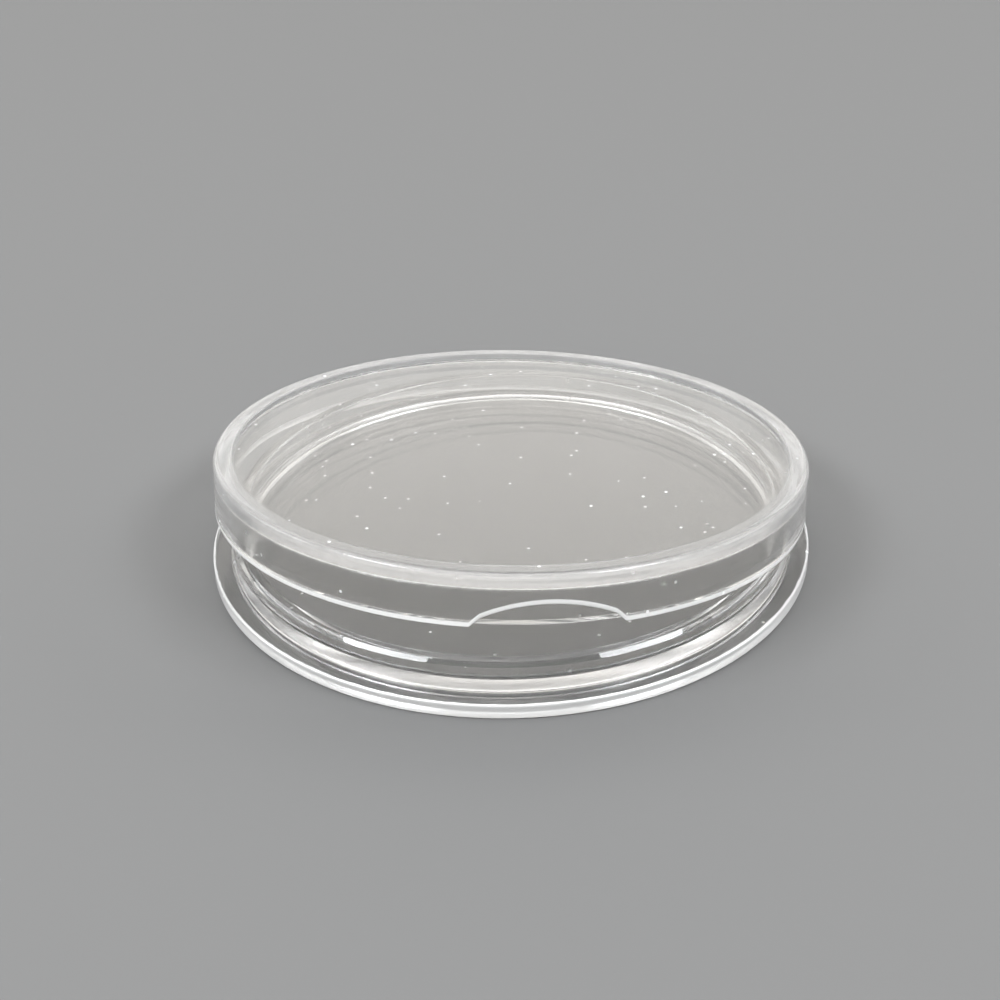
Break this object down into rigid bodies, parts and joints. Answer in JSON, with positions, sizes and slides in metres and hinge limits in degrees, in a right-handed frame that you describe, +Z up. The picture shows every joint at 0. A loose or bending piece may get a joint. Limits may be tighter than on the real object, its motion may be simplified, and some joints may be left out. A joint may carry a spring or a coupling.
{
  "type": "coin capsule",
  "caption": "Round clear plastic coin capsule: a flanged base with a collar that seats a coin, and a skirted lid with a thumb notch, shown ajar.",
  "frame": {"origin": "centre of the plane that the base stands on", "axes": "+Z up along the base's axis, out of the coin seat; -Y the front, where the lid stands highest; the lid turns about an axis along X at the back of the seam"},
  "size_m": [0.046, 0.0461, 0.011],
  "materials": {
    "base_plastic": "clear moulded polystyrene, polished",
    "lid_plastic": "clear moulded polystyrene, polished"
  },
  "bodies": {
    "base": {"base": "base_plastic"},
    "lid": {"lid": "lid_plastic"}
  },
  "joints": [
    {"name": "lid_tilt", "type": "hinge", "parent": "base", "child": "lid", "pos_m": [0, 0.0226, 0.00118], "axis": [-1, 0, 0], "range_deg": [-7.4, 82]}
  ]
}
